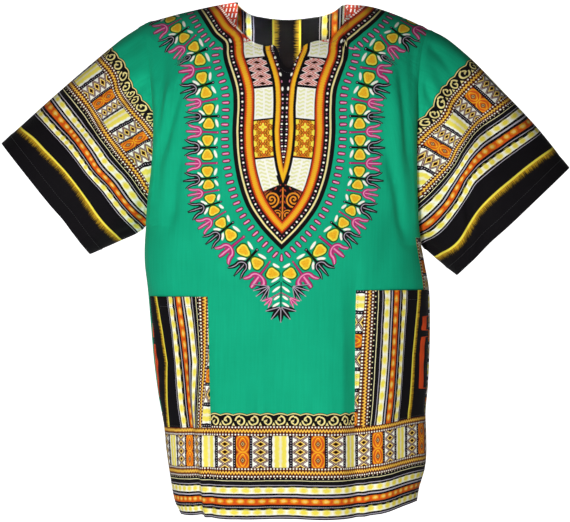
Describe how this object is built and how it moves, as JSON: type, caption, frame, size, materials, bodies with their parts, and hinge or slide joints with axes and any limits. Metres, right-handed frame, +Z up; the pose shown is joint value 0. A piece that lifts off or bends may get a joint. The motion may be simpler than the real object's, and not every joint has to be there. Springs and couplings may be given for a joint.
{
  "type": "dashiki shirt",
  "caption": "Loose short-sleeved pullover shirt in bordered print cotton, hollow as when worn, with a notched neck, patch pockets and side slits.",
  "frame": {"origin": "between the shoulders, level with the neck, where the wearer carries the shirt", "axes": "+X to the right of the shirt as its front is looked at, +Y from front to back, +Z up"},
  "size_m": [0.8515, 0.2425, 0.7637],
  "materials": {
    "printed_cotton_front": "plain-weave cotton, matt, green ground with a printed neck plaque and hem borders",
    "printed_cotton_back": "plain-weave cotton, matt, green ground with a printed yoke and hem borders",
    "printed_cotton_sleeve": "plain-weave cotton, matt, printed borders on black and green",
    "printed_cotton_pocket": "plain-weave cotton, matt, upright printed stripes",
    "printed_cotton_facing": "plain-weave cotton, matt, upright printed stripes"
  },
  "bodies": {
    "root": {"front_panel": "printed_cotton_front", "back_panel": "printed_cotton_back", "sleeve_left": "printed_cotton_sleeve", "sleeve_right": "printed_cotton_sleeve", "pocket_left": "printed_cotton_pocket", "pocket_right": "printed_cotton_pocket", "back_neck_facing": "printed_cotton_facing"}
  },
  "joints": []
}
